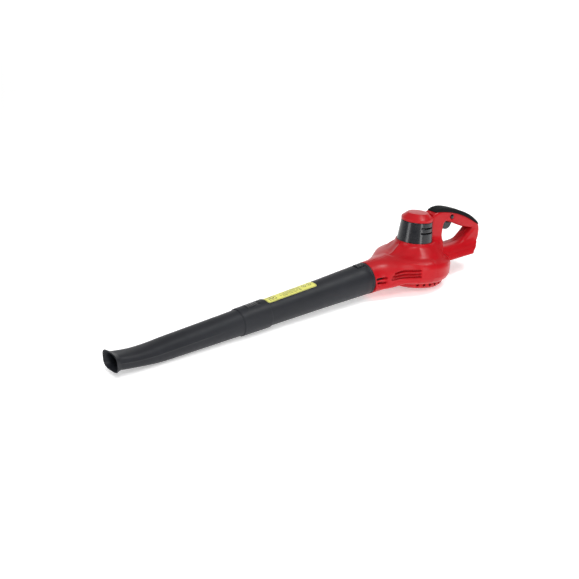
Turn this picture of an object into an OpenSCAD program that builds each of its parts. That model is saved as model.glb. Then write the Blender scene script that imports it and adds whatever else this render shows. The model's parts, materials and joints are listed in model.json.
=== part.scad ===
// Cordless leaf blower: a vertical motor in a tower, a flat fan housing under it,
// a loop handle with a battery foot behind, and a tube with a flattened nozzle in front.
// Every module is drawn in the tool's own frame: Z is the motor shaft, X points to the
// rear, and Z = 0 lies just under the intake guard. stand() then lays the tool on the
// ground, where it rests on the guard and on the belly of the nozzle.

/* [Stance] */
// Angle that the motor tower leans back when the tool lies on the ground
lean = 6.9; // [6.7:0.1:7.1]

/* [Fan housing] */
// Radius of the round fan housing
disc_r = 77.5; // [77:0.5:79]
// Height of the lower edge of its upright wall
disc_z0 = 32; // [31:0.5:33]
// Height of the upper edge of its upright wall
disc_z1 = 50; // [49.5:0.5:51]
// Wall thickness of the housing shells
wall = 2.6; // [2.4:0.1:2.8]
// Largest radius of the intake guard
guard_r = 63; // [62:0.5:63.5]
// Height of the guard's underside
guard_z = 3; // [2.5:0.5:3.5]

/* [Tower] */
// Outer radius of the black band at its foot
band_r0 = 36; // [35.5:0.5:36.5]
// Outer radius of the black band at its top
band_r1 = 31.2; // [31:0.1:31.4]
// Height of the band's foot
band_z0 = 88; // [87.5:0.5:88.5]
// Height of the band's top
band_z1 = 133; // [132.5:0.5:133.5]
// Height of the cap's flat top
cap_z = 146; // [145:0.5:147]

/* [Handle] */
// Width of the loop handle
grip_w = 32; // [31:0.5:33]
// Width of the battery foot
foot_w = 60; // [58:0.5:62]
// Length of the battery foot
foot_l = 65; // [64:0.5:66]

/* [Tube and nozzle] */
// Angle between the tube and the fan housing
tube_slope = 9.2; // [9:0.1:9.4]
// Radius of the tube where it leaves the housing
tube_r0 = 31.6; // [31.6:0.1:31.9]
// Radius of the tube at the nozzle's collar
tube_r1 = 25.8; // [25.6:0.1:26]
// Visible length of the tube
tube_l = 248; // [244:1:252]
// Length of the collar at the rear of the nozzle
collar_l = 72; // [70:1:74]
// Length of the nozzle in front of the tube's shoulder
nozzle_l = 330; // [326:1:334]
// Width of the air outlet over its lip
outlet_w = 54.6; // [53.6:0.5:55.6]
// Height of the air outlet over its lip
outlet_h = 39.6; // [39.1:0.5:40.1]

/* [Motor] */
// Radius of the motor can
can_r = 22.2; // [22:0.1:22.4]
// Radius of the motor shaft
shaft_r = 2.5; // [2.4:0.1:2.6]
// Radius of the impeller
fan_r = 60; // [58:0.5:61]
// Number of impeller blades
blades = 11; // [9:1:13]

/* [Hidden] */
$fn = 64;

// The middle of the whole tool, measured from the motor shaft, and the ground under it
mid_x = -258.2;
ground_z = -3.2;
// Play between pieces that slide on each other
play = 0.3;

// The tube's axis starts in the middle of the housing's outlet ring
ring_x = -123.8;
ring_z = 22.3;
ring_r = 32.4;
ring_l = 46;
insert_r = ring_r - wall - play;
insert_l = 38;
spigot_r = 24.4;
spigot_l = 60;
tube_wall = 2.2;
tube_latch_s = 8;
nozzle_latch_s = 16;
latch_w = 16;
nozzle_wall = 2;
// How far the outlet's lip stands out, and how far the nozzle narrows in height in front of its belly
lip_out = 4.4;
nozzle_dip = 3.14;
label_s = 131;
label_l = 115;
sides = 40;

// The handle's crown under the soft grip, from the tower to the heel
crown = [[38, 143], [53, 150], [70, 150], [90, 146], [112, 140.5], [128, 135], [144, 128], [160, 118]];
// The handle's rear end, from the crown down to the foot
heel = [[171, 108], [171.5, 92], [169, 79], [150, 64]];
rim = concat(crown, heel);
edge_bevel = 6;
skin = 3;
hole = [[64, 70.5], [98, 71.5], [118, 76], [134, 87.5], [146, 101], [143.5, 105], [112, 112.5],
    [87, 121], [64, 125]];
hole_middle = [100, 98];
half_grip = grip_w / 2;
half_foot = foot_w / 2;
foot_x = 84;
foot_z = 44;
channel_x = 12;
channel_z = 12;

cap_r = 31.8;
rim_r = 38.6;
intake_r = 48;
guard_screw_r = 55;
guard_screw_angles = [45, 135, 225, 315];
guard_top = 16;

// Housing screws run across the tool, heads in the right shell and points in the left
screw_at = [[70, 40], [51, 98], [51, 136], [134, 121], [160, 92], [150, 76], [78, 62]];
screw_r = 1.4;
screw_grip = 9;
head_r = 3.2;
head_h = 2.2;
head_seat = 9;

lock_x = 84.5;
lock_z = 133;
lock_r = 4;
pivot_x = 70;
pivot_z = 122;
half_trigger = 6.5;
switch_x = 99;
switch_z = 133;
switch_tilt = 14;

plate_z = 50;
can_z0 = 53;
can_z1 = 116;
bell_z1 = 122;
core_r = 14.6;
magnet_r = can_r - 1.65;
wire_r = 1.3;

module stand() translate([-mid_x, 0, -ground_z]) rotate([0, lean, 0]) children();
// Local z runs forward along the tube, and local x points up
module along_tube(s = 0)
    translate([ring_x, 0, ring_z]) rotate([0, -90 - tube_slope, 0]) translate([0, 0, s]) children();
// Local x runs rearward under the foot, level with the ground
module on_foot() translate([foot_x, 0, foot_z]) rotate([0, -lean, 0]) children();
module at_switch() translate([switch_x, 0, switch_z]) rotate([0, switch_tilt, 0]) children();
// An outline in x and z, drawn across the tool from y0 to y1
module across(y0, y1) translate([0, y1, 0]) rotate([90, 0, 0]) linear_extrude(y1 - y0) children();
module spin(profile) rotate_extrude() polygon(profile);
// The space beyond a plane, given by the plane's normal and its distance from the origin
module beyond(n, d) rotate([0, acos(unit(n)[2]), atan2(n[1], n[0])])
    translate([-400, -400, d]) cube([800, 800, 200]);
module tube_of(z0, z1, r_out, r_in) translate([0, 0, z0]) difference() {
    cylinder(h = z1 - z0, r = r_out);
    translate([0, 0, -1]) cylinder(h = z1 - z0 + 2, r = r_in);
}
function unit(v) = v / norm(v);

// A solid through a list of rings that all have n points
module skin_over(rows, n) polyhedron(
    [for (row = rows) each row],
    concat([for (i = [0:len(rows) - 2]) for (k = [0:n - 1]) each [
            [i * n + k, i * n + (k + 1) % n, (i + 1) * n + k],
            [i * n + (k + 1) % n, (i + 1) * n + (k + 1) % n, (i + 1) * n + k]]],
        [[for (k = [n - 1:-1:0]) k]], [[for (k = [0:n - 1]) (len(rows) - 1) * n + k]]));
// A round bar of n sides swept along a list of points
function heading(p, i) = unit(p[min(i + 1, len(p) - 1)] - p[max(i - 1, 0)]);
module sweep(p, r, n = 8, up = [0, 0, 1]) skin_over([for (i = [0:len(p) - 1])
    let (d = heading(p, i), u = unit(cross(d, up)), v = cross(d, u))
        [for (k = [0:n - 1]) p[i] + r * (u * cos(360 * k / n) - v * sin(360 * k / n))]], n);
module coil(r, length, turns, wire = 0.5, steps = 14)
    sweep([for (i = [0:turns * steps]) [r * cos(360 * i / steps), r * sin(360 * i / steps),
        wire + (length - 2 * wire) * i / (turns * steps)]], wire, 6);

// ---- housing shells: each form is drawn g inside the outer skin ----
module disc_form(g) spin([[0, guard_top + g], [64 - g, guard_top + g], [72 - g, 23 + g / 2],
    [disc_r - g, disc_z0], [disc_r - g, disc_z1], [74 - g, 57 - g / 2], [64 - g, 64 - g], [0, 64 - g]]);
module tower_form(g) spin([[0, 52], [72 - g, 52], [60 - g, 64], [45 - g, 76], [rim_r - g, 84],
    [rim_r - g, band_z0 + 1 - g], [0, band_z0 + 1 - g]]);
// Half of the duct's outline from above, narrow at the ring and flared into the round housing
duct_side = [[-124, 32], [-90, 47.5], [-70, 50.5], [-57, 55.5], [-45, 63], [-28, 72], [0, 72.5]];
// The distance from the origin of the sloping faces along the duct's upper edges
duct_bevel = 91;
module duct_form(g) difference() {
    duct_block(g);
    for (side = [-1, 1]) beyond([-0.7, side, 1], duct_bevel - g);
}
module duct_block(g) intersection() {
    translate([0, 0, -20]) linear_extrude(100) polygon(concat([for (p = duct_side) p - [0, g]],
        [for (i = [len(duct_side) - 1:-1:0]) [duct_side[i][0], g - duct_side[i][1]]]));
    across(-90, 90) polygon([[-117, g - 10], [-82, 1 + g], [-66, guard_top + g], [0, guard_top + g],
        [0, 63 - g], [-46, 63 - g], [-122, 55 - g]]);
    translate([-130, 0, 0]) rotate([90, 0, 90]) linear_extrude(140)
        polygon([[0, g - 8.5], [75, 24.5 + g], [75, 90], [-75, 90], [-75, 24.5 + g]]);
}
module ring_form(g) along_tube(-ring_l) cylinder(h = ring_l, r = ring_r - g);
module loop_form(g) loop_bevels(-g) across(g - half_grip, half_grip - g) difference() {
    polygon(concat([for (p = crown) p - [0, g]], [for (p = heel) p - [g, 0]],
        [[76, 56 + g], [40, 50], [30, 60], [30, crown[0][1] - g]]));
    polygon([for (p = hole) p + g * unit(p - hole_middle)]);
}
// Bevels both outer edges of the handle, one straight stretch of its outline at a time
module loop_bevels(g) difference() {
    children();
    for (i = [0:len(rim) - 2]) let (along = unit(rim[i + 1] - rim[i]), out = [-along[1], along[0]])
        for (side = [-1, 1]) beyond([out[0], side, out[1]], (rim[i] * out + half_grip - edge_bevel) / sqrt(2) + g);
}
module foot_form(g) on_foot() across(g - half_foot, half_foot - g)
    polygon([[g, 0], [foot_l - g, 0], [foot_l - g, 15], [50, 21 - g], [g - 14, 21 - g], [g - 10, 14]]);
module body_form(g) {
    disc_form(g);
    tower_form(g);
    duct_form(g);
    ring_form(g);
    loop_form(g);
    foot_form(g);
}
// Where the battery slides in from the rear, with a lip along each side to hold it
module battery_channel() on_foot() {
    translate([channel_x, -19, -1]) cube([foot_l, 38, 7]);
    translate([channel_x, -24, 5]) cube([foot_l, 48, channel_z - 5]);
    translate([channel_x + 2, -11, channel_z - 1]) cube([14, 22, 8]);
}
module battery_shoe() on_foot() translate([-2, 1 - half_foot, 0]) cube([foot_l, foot_w - 2, channel_z + 2.5]);
// The band and the cap, filled, which the handle's front column hugs
module tower_top() {
    translate([0, 0, band_z0]) cylinder(h = band_z1 - band_z0, r1 = band_r0, r2 = band_r1);
    spin([[0, band_z1 - 0.1], [cap_r, band_z1 - 0.1], [cap_r, band_z1 + 4], [21, cap_z], [21, 170], [0, 170]]);
}
module trigger_mouth() across(-half_trigger - play, half_trigger + play)
    polygon([[66.4, 104], [97, 104], [97, 122], [66.4, 127]]);
module screw_line(p) translate([p[0], 0, p[1]]) rotate([-90, 0, 0]) children();
module screw_posts() for (p = screw_at) screw_line(p) translate([0, 0, -60]) cylinder(h = 120, r = 5);
module screw_holes(side) for (p = screw_at) screw_line(p) {
    if (side < 0) translate([0, 0, -screw_grip]) cylinder(h = screw_grip + 1, r = screw_r);
    if (side > 0) {
        translate([0, 0, -1]) cylinder(h = 60, r = screw_r + play);
        translate([0, 0, head_seat]) cylinder(h = 60, r = head_r + play);
    }
}
module at_guard_screws(z) for (a = guard_screw_angles) rotate(a) translate([guard_screw_r, 0, z]) children();
module shell(side) difference() {
    union() {
        difference() {
            body_form(0);
            difference() {
                body_form(wall);
                battery_shoe();
            }
        }
        intersection() {
            screw_posts();
            body_form(0);
        }
        at_guard_screws(guard_top) cylinder(h = 7, r = 4.5);
    }
    battery_channel();
    tower_top();
    translate([0, 0, 60]) cylinder(h = 60, r = band_r0 - 4);
    translate([0, 0, 10]) cylinder(h = 12, r = intake_r);
    along_tube(-ring_l - 4) cylinder(h = ring_l + 5, r = ring_r - wall);
    trigger_mouth();
    at_guard_screws(guard_top - 6) cylinder(h = 12, r = screw_r);
    screw_holes(side);
    if (side < 0) translate([lock_x, -half_grip - 1, lock_z]) rotate([-90, 0, 0]) cylinder(h = 8, r = lock_r + play);
    translate([-300, side < 0 ? 0 : -200, -100]) cube([600, 200, 400]);
}
module housing_left() stand() color("crimson") shell(-1);
module housing_right() stand() color("crimson") shell(1);

// A shallow bowl with a row of slots round its upper edge and a grille underneath
module intake_guard() stand() color("crimson") difference() {
    union() {
        spin([[0, guard_z], [guard_r - 14, guard_z], [guard_r - 5, guard_z + 3], [guard_r - 1, guard_z + 7],
            [guard_r, guard_top], [guard_r - 2.6, guard_top], [guard_r - 3.6, guard_z + 8],
            [guard_r - 6.8, guard_z + 5], [guard_r - 14.4, guard_z + 2.6], [0, guard_z + 2.6]]);
        at_guard_screws(guard_z + 1) cylinder(h = guard_top - guard_z - 1, r = 4.5);
    }
    at_guard_screws(guard_z - 1) cylinder(h = 6, r = head_r + play);
    at_guard_screws(guard_z) cylinder(h = 20, r = screw_r + play);
    for (a = [-138:12:138]) rotate(a) translate([guard_r - 5, -2, guard_z + 6.5]) cube([10, 4, 6]);
    for (a = [0:15:345]) rotate(a) translate([13, -1.6, 0]) cube([a % 30 == 0 ? 31 : 24, 3.2, 10]);
}

// ---- tower ----
module motor_vent_band() stand() color("#23262b") difference() {
    translate([0, 0, band_z0]) cylinder(h = band_z1 - band_z0, r1 = band_r0, r2 = band_r1);
    translate([0, 0, band_z0]) cylinder(h = band_z1 - band_z0, r1 = band_r0 - 2.4, r2 = band_r1 - 2.4);
    for (side = [0, 1]) for (z = [109, 117.5]) mirror([0, side, 0]) rotate(-115) translate([0, 0, z])
        rotate_extrude(angle = 62) translate([26, 0]) square([12, 2.4]);
}
module tower_cap() stand() color("crimson") spin([[0, cap_z - 2.6], [20, cap_z - 2.6], [cap_r - 3.4, band_z1 + 3.4],
    [cap_r - 3.4, band_z1], [cap_r, band_z1], [cap_r, band_z1 + 4], [21, cap_z - 0.4], [20, cap_z], [0, cap_z]]);
module soft_grip() stand() color("#1c1e20") difference() {
    loop_bevels(2) across(-half_grip - 1.2, half_grip + 1.2)
        polygon(concat([for (p = crown) p + [0, skin]], [for (i = [len(crown) - 1:-1:0]) crown[i] - [0, 8]]));
    loop_bevels(0) across(-half_grip, half_grip) polygon(concat(crown, [[160, 80], [38, 80]]));
    tower_top();
}

// ---- tube and nozzle ----
module tube() stand() color("#1f2226") difference() {
    along_tube() spin([[insert_r - tube_wall, -insert_l], [insert_r, -insert_l], [insert_r, play],
        [tube_r0 + 0.3, play], [tube_r0, 4], [(tube_r0 + tube_r1) / 2 - 0.3, tube_l * 0.45], [tube_r1, tube_l],
        [spigot_r, tube_l], [spigot_r, tube_l + spigot_l], [spigot_r - tube_wall, tube_l + spigot_l],
        [spigot_r - tube_wall, tube_l - 4], [(tube_r0 + tube_r1) / 2 - 0.3 - tube_wall, tube_l * 0.45],
        [insert_r - tube_wall, 4]]);
    latch_gap(tube_latch_s, 18, insert_r);
    latch_gap(tube_l + nozzle_latch_s - 2, 30, spigot_r);
}
// A slot through the tube's top that leaves room for a latch tongue
module latch_gap(s, length, r) along_tube(s)
    translate([r - 6, -latch_w / 2 - play, -play]) cube([12, latch_w + 2 * play, length + 2 * play]);
// A tongue that fills a slot, with a raised pad that the thumb presses
module latch(s, length, r, pad) along_tube(s) {
    intersection() {
        tube_of(0, length, r - 0.2, r - 2);
        translate([0, -latch_w / 2, 0]) cube([60, latch_w, length]);
    }
    intersection() {
        tube_of(3, length - 3, r + pad, r - 1);
        translate([0, 3 - latch_w / 2, 0]) cube([60, latch_w - 6, length]);
    }
}
module tube_latch() stand() color("#16181b") latch(tube_latch_s, 18, insert_r, 3.7);
module nozzle_latch() stand() color("#16181b") latch(tube_l + nozzle_latch_s - 2, 30, spigot_r, 2.9);
module tube_label() stand() color("#e4de50") along_tube(label_s) rotate(-26) rotate_extrude(angle = 52)
    polygon([[label_r(0), 0], [label_r(0) + 0.3, 0], [label_r(label_l) + 0.3, label_l], [label_r(label_l), label_l]]);
// The tube's radius under the label, at a distance from the label's rear edge
function label_r(s) = let (r = (tube_r0 + tube_r1) / 2 - 0.3, t = (label_s + s - tube_l * 0.45) / (tube_l * 0.55))
    r + (tube_r1 - r) * t + 0.05;

// The nozzle's half width, half height and centre line, at a distance from its rear edge
function ease(t) = let (c = max(0, min(1, t))) c * c * (3 - 2 * c);
function step(s) = s < collar_l ? 27.8 - 0.018 * s : 25.3 - 0.02 * max(0, s - collar_l - 4)
    + 1.2 * (1 - ease((s - collar_l) / 4));
function lip(s) = lip_out * pow(max(0, (s - nozzle_l + 9) / 9), 2);
function half_w(s) = s < collar_l + 12 ? step(s)
    : step(collar_l + 12) + (outlet_w / 2 - lip_out - step(collar_l + 12)) * (s - collar_l - 12) / (nozzle_l - collar_l - 12);
function half_h(s) = s < collar_l + 12 ? step(s)
    : step(collar_l + 12) + (outlet_h / 2 - lip_out + nozzle_dip - step(collar_l + 12)) * (s - collar_l - 12)
        / (nozzle_l - collar_l - 12) - nozzle_dip * ease((s - 212) / 80);
function rise(s) = 11 * pow(max(0, (s - 232) / (nozzle_l - 232)), 2);
function ring_at(s, g, at) = [for (k = [0:sides - 1]) let (a = 360 * k / sides)
    [rise(s) + (half_h(s) + lip(s) - g) * cos(a), (g - half_w(s) - lip(s)) * sin(a), at]];
function round_at(r, at) = [for (k = [0:sides - 1]) [r * cos(360 * k / sides), -r * sin(360 * k / sides), at]];
stations = concat([for (s = [collar_l + 12:16:nozzle_l - 14]) s], [for (k = [0:4]) nozzle_l - 9 + 9 * k / 4]);
module nozzle() stand() color("#202327") along_tube(tube_l + play) difference() {
    skin_over(concat([for (s = [0, 1, collar_l - 1, collar_l, collar_l + 2, collar_l + 4]) ring_at(s, s == 0 ? 0.5 : 0, s)],
        [for (s = stations) ring_at(s, 0, s)]), sides);
    skin_over(concat([round_at(spigot_r + play, -1), round_at(spigot_r + play, spigot_l + 1),
        round_at(spigot_r - 1.4, spigot_l + 3)], [for (s = stations) ring_at(s, nozzle_wall, s)],
        [ring_at(nozzle_l, nozzle_wall, nozzle_l + 1)]), sides);
    translate([20, -latch_w / 2 - play, nozzle_latch_s - 2.6]) cube([12, latch_w + 2 * play, 30.6]);
}

// ---- controls ----
// A paddle that hangs under the front of the grip and turns on a pin in its upper front corner
module trigger() stand() color("#17181a") difference() {
    across(-half_trigger, half_trigger)
        polygon([[67, 125.4], [66.8, 112], [71, 107], [78, 105], [84, 105.2], [90, 108.5], [94, 116], [95, 120.4],
            [78, 120.6], [75, 125.4]]);
    translate([pivot_x, -20, pivot_z]) rotate([-90, 0, 0]) cylinder(h = 40, r = 1.55);
    translate([88, 0, 117.4]) cylinder(h = 10, r = 3.3);
}
module trigger_pin() stand() color("silver") translate([pivot_x, -9, pivot_z]) rotate([-90, 0, 0])
    cylinder(h = 18, r = 1.5);
module trigger_spring() stand() color("silver") translate([88, 0, 117.5]) coil(2.4, 11.6, 6);
module lock_button() stand() color("#17181a") translate([lock_x, 0, lock_z]) rotate([-90, 0, 0]) {
    translate([0, 0, -half_grip - 1.4]) cylinder(h = 8.2, r = lock_r);
    translate([0, 0, -12.6]) cylinder(h = 1.6, r = 5.4);
}
module lock_spring() stand() color("silver") translate([lock_x, -9.1, lock_z]) rotate([-90, 0, 0]) coil(2.6, 7.2, 4);
module switch_module() stand() color("#2a2b2e") at_switch() difference() {
    translate([-20, -1.8, -4]) cube([38, 12, 9.5]);
    translate([-21, 8, -5]) cube([8, 3, 12]);
}
module contact_block() stand() color("#222222") on_foot() difference() {
    union() {
        translate([channel_x + 0.4, -14, 3]) cube([18, 28, channel_z - 3.2]);
        translate([channel_x + 2.4, -10.6, 3]) cube([13.2, 21.2, 12.4]);
    }
    for (y = contact_y) translate([channel_x + 6, y - 0.5, 2]) cube([14, 1, 20]);
}
contact_y = [-9, 0, 9];
module battery_contacts() stand() color("goldenrod") on_foot() for (y = contact_y)
    translate([channel_x + 6.2, y - 0.4, 4.2]) cube([24, 0.8, 6]);

// ---- wiring ----
battery_route = [[103, 63], [104, 65.5], [112, 68.5], [126, 70], [140, 84], [152, 98], [152, 108], [144, 114],
    [134, 113.2], [124, 119], [122, 126], [119.2, 128.4]];
motor_route = [[78.4, 137], [70, 136], [61, 133], [58, 127], [58.6, 116], [58.6, 100], [57, 84], [44, 76], [30, 78],
    [26.4, 90], [25.4, 108], [24.2, 122.6], [18, 124.2], [13, 123.6]];
lead_y = [0.6, 6.6];
module leads(route) for (y = lead_y) sweep([for (p = route) [p[0], y, p[1]]], wire_r, up = [0, 1, 0]);
module battery_leads() stand() color("firebrick") leads(battery_route);
module motor_leads() stand() color("black") leads(motor_route);

// ---- motor ----
module motor_screw_line() for (side = [-1, 1]) translate([0, side * 12.5, 0]) children();
// The plate closes the fan chamber and carries the motor
module fan_chamber_plate() stand() color("#3a3d40") difference() {
    translate([0, 0, plate_z]) cylinder(h = 3, r = disc_r - wall - 2.4);
    translate([0, 0, plate_z - 1]) cylinder(h = 5, r = 6);
    motor_screw_line() translate([0, 0, plate_z - 1]) cylinder(h = 5, r = 2.1);
    for (a = [0:30:330]) rotate(a) translate([27, -3, plate_z - 1]) cube([14, 6, 5]);
    translate([60, -11, plate_z - 1]) cube([30, 22, 5]);
    translate([-90, -50, plate_z - 1]) cube([40, 100, 5]);
}
module motor_cradle() stand() color("#3a3d40") difference() {
    tube_of(64, 70, 46, can_r + 0.05);
    for (a = [20:40:340]) rotate(a) translate([can_r + 4, -5, 63]) cube([14, 10, 8]);
}
module motor_can() stand() color("silver") difference() {
    translate([0, 0, can_z0]) cylinder(h = can_z1 - can_z0, r = can_r);
    translate([0, 0, can_z0 + 2]) cylinder(h = can_z1, r = can_r - 1.6);
    translate([0, 0, can_z0 - 1]) cylinder(h = 5, r = 5);
    motor_screw_line() translate([0, 0, can_z0 - 1]) cylinder(h = 5, r = 1.9);
    for (a = [45:90:315]) rotate(a) translate([13, -2.5, can_z0 - 1]) cube([5, 5, 5]);
    for (a = [0:60:300]) rotate(a) translate([can_r - 4, -3, can_z0 + 6]) cube([8, 6, 5]);
}
module motor_magnets() stand() color("dimgray") for (a = [-65, 115]) rotate(a) translate([0, 0, 72])
    rotate_extrude(angle = 130) translate([core_r + 0.6, 0]) square([magnet_r - core_r - 0.6, 34]);
module motor_end_bell() stand() color("#202020") difference() {
    union() {
        translate([0, 0, can_z1]) cylinder(h = bell_z1 - can_z1, r = can_r);
        translate([0, 0, can_z1 - 5]) cylinder(h = 5, r = magnet_r - 0.1);
    }
    translate([0, 0, can_z1 - 6]) cylinder(h = 8, r = 17);
    translate([0, 0, can_z1]) cylinder(h = 7, r = 5);
    for (a = [45:90:315]) rotate(a) translate([9, -3, can_z1 - 6]) cube([7, 6, 20]);
}
module motor_brushes() stand() color("#303030") for (side = [-1, 1])
    translate([side * 10.6 - 5, -2.5, can_z1 - 3.4]) cube([10, 5, 4.6]);
module motor_bushings() stand() color("darkgoldenrod") {
    tube_of(plate_z + 0.5, can_z0 + 3.5, 5, shaft_r + 0.05);
    tube_of(can_z1 + 2, bell_z1, 5, shaft_r + 0.05);
}
module motor_shaft() stand() color("silver") translate([0, 0, 19]) cylinder(h = bell_z1 + 1 - 19, r = shaft_r);
// Five slotted poles round the shaft
module armature_core() stand() color("slategray") difference() {
    tube_of(74, 104, core_r, shaft_r);
    for (a = [0:72:288]) rotate(a) {
        translate([core_r - 2.4, -1, 73]) cube([5, 2, 32]);
        translate([9.4, 0, 73]) cylinder(h = 32, r = 2.9);
    }
}
module armature_windings() stand() color("peru") for (z = [[66.6, 74], [104, 109.6]])
    spin([[5, z[0]], [11.4, z[0]], [12.6, z[0] + 1.4], [12.6, z[1] - 1.4], [11.8, z[1]], [5, z[1]]]);
module commutator() stand() color("#b8733a") difference() {
    tube_of(109.8, can_z1 + 1.6, 5.5, shaft_r);
    for (a = [0:72:288]) rotate(a) translate([5, -0.25, 111.4]) cube([2, 0.5, 12]);
}
module vane(r0, r1, z0, z1, a, thick) rotate(a) translate([r0, -thick / 2, z0]) rotate(18)
    cube([r1 - r0, thick, z1 - z0]);
module cooling_fan() stand() color("#2c2c2c") difference() {
    union() {
        translate([0, 0, 61.4]) cylinder(h = 1.4, r = 17.6);
        translate([0, 0, 58.4]) cylinder(h = 7, r = 5.4);
        for (k = [0:8]) vane(4.6, 17, 58.4, 62, 40 * k, 1.2);
    }
    translate([0, 0, 50]) cylinder(h = 20, r = shaft_r);
}

// ---- fan ----
module impeller() stand() color("#2d3033") difference() {
    union() {
        translate([0, 0, 44.4]) cylinder(h = 2.2, r = fan_r);
        spin([[0, 26], [9, 26], [9, 30], [14, 44.6], [0, 44.6]]);
        for (k = [0:blades - 1]) rotate(360 * k / blades) intersection() {
            translate([-24, 38, 27]) tube_of(0, 17.6, 56, 54);
            rotate(-8) translate([0, 0, 27]) cube([90, 90, 18]);
            translate([0, 0, 27]) cylinder(h = 18, r = fan_r - 0.5);
            tube_of(27, 45, 90, 22);
        }
    }
    translate([0, 0, 10]) cylinder(h = 60, r = shaft_r);
    translate([0, 0, 10]) cylinder(h = 16.9, r = 5.4);
}
module impeller_nut() stand() color("silver") difference() {
    translate([0, 0, 21.8]) cylinder(h = 4.2, r = 4.6, $fn = 6);
    translate([0, 0, 15]) cylinder(h = 20, r = shaft_r);
}

// ---- fasteners ----
module screw(head, length, r) {
    difference() {
        cylinder(h = head_h, r = head);
        for (a = [0, 90]) rotate(a) translate([-head * 0.6, -0.4, -1]) cube([head * 1.2, 0.8, 2]);
    }
    translate([0, 0, head_h]) cylinder(h = length, r = r);
}
module motor_screws() stand() color("silver") motor_screw_line() translate([0, 0, plate_z - head_h])
    screw(3.4, 5, 1.9);
module guard_screws() stand() color("silver") at_guard_screws(guard_z + 2.8) screw(head_r, 13, screw_r);
module housing_screws() stand() color("silver") for (p = screw_at) screw_line(p)
    translate([0, 0, head_seat + head_h]) rotate([180, 0, 0]) screw(head_r, head_seat + screw_grip - 1, screw_r);

housing_left();
housing_right();
intake_guard();
motor_vent_band();
tower_cap();
soft_grip();
tube();
nozzle();
tube_label();
tube_latch();
nozzle_latch();
trigger();
trigger_pin();
trigger_spring();
lock_button();
lock_spring();
switch_module();
contact_block();
battery_contacts();
battery_leads();
motor_leads();
fan_chamber_plate();
motor_cradle();
motor_can();
motor_magnets();
motor_end_bell();
motor_brushes();
motor_bushings();
motor_shaft();
armature_core();
armature_windings();
commutator();
cooling_fan();
impeller();
impeller_nut();
motor_screws();
guard_screws();
housing_screws();
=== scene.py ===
import json
import math

import bmesh
import bpy
import numpy as np
from mathutils import Matrix, Vector


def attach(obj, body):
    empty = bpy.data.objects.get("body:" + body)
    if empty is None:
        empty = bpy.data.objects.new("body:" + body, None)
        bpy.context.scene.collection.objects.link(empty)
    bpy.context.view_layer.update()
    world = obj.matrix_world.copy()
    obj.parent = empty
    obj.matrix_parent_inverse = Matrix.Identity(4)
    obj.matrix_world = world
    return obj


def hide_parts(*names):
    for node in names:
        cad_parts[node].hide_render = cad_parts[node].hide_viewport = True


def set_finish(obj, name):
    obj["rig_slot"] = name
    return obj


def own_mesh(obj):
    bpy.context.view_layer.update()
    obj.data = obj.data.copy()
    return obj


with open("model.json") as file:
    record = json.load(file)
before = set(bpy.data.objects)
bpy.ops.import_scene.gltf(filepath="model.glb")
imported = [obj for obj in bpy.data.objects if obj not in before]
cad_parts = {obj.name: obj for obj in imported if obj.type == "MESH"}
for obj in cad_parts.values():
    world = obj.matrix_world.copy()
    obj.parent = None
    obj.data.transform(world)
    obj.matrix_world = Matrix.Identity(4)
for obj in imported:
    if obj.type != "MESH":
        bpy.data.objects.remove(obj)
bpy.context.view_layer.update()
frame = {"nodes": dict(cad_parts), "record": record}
nodes = frame["nodes"]

# ---------------------------------------------------------------- the tool's own frame
# Shapes are described in millimetres in the tool's frame: Z is the motor shaft, X points to the rear,
# and the camera stands on the side of -Y. The tool then leans back by LEAN on the ground.
LEAN = math.radians(6.9)
MID_X, GROUND_Z = -258.2, -3.2  # the middle of the length and the ground, after leaning
RING = (-123.8, 22.3)  # x and z of the middle of the duct's ring, which holds the tube
SLOPE = math.radians(9.2)  # the tube points down by this much in the tool's frame


def to_row(p):
    """Tool frame in mm to the row frame in metres."""
    p = np.asarray(p, float).reshape(-1, 3)
    x = p[:, 0] * math.cos(LEAN) + p[:, 2] * math.sin(LEAN) - MID_X
    z = -p[:, 0] * math.sin(LEAN) + p[:, 2] * math.cos(LEAN) - GROUND_Z
    return np.stack([x, p[:, 1], z], 1) / 1000


def along_tube(p):
    """(up, across, forward) along the tube's axis to the tool frame, all in mm."""
    p = np.asarray(p, float).reshape(-1, 3)
    up, y, s = p[:, 0], p[:, 1], p[:, 2]
    x = RING[0] - s * math.cos(SLOPE) + up * -math.sin(SLOPE)
    z = RING[1] - s * math.sin(SLOPE) + up * math.cos(SLOPE)
    return np.stack([x, y, z], 1)


# ---------------------------------------------------------------- distance fields
def smin(a, b, k):
    """The smaller of two distances, with a fillet about k wide where they meet."""
    h = np.clip(0.5 + 0.5 * (b - a) / k, 0, 1)
    return b * (1 - h) + a * h - k * h * (1 - h)


def smax(a, b, k):
    return -smin(-a, -b, k)


def step(t):
    """A smooth rise from 0 at t = 0 to 1 at t = 1."""
    t = np.clip(t, 0, 1)
    return t * t * (3 - 2 * t)


def chaikin(points, times=2):
    """A closed outline with its corners cut to a smooth curve."""
    p = np.asarray(points, float)
    for _ in range(times):
        q = np.roll(p, -1, 0)
        p = np.stack([0.75 * p + 0.25 * q, 0.25 * p + 0.75 * q], 1).reshape(-1, 2)
    return p


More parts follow.
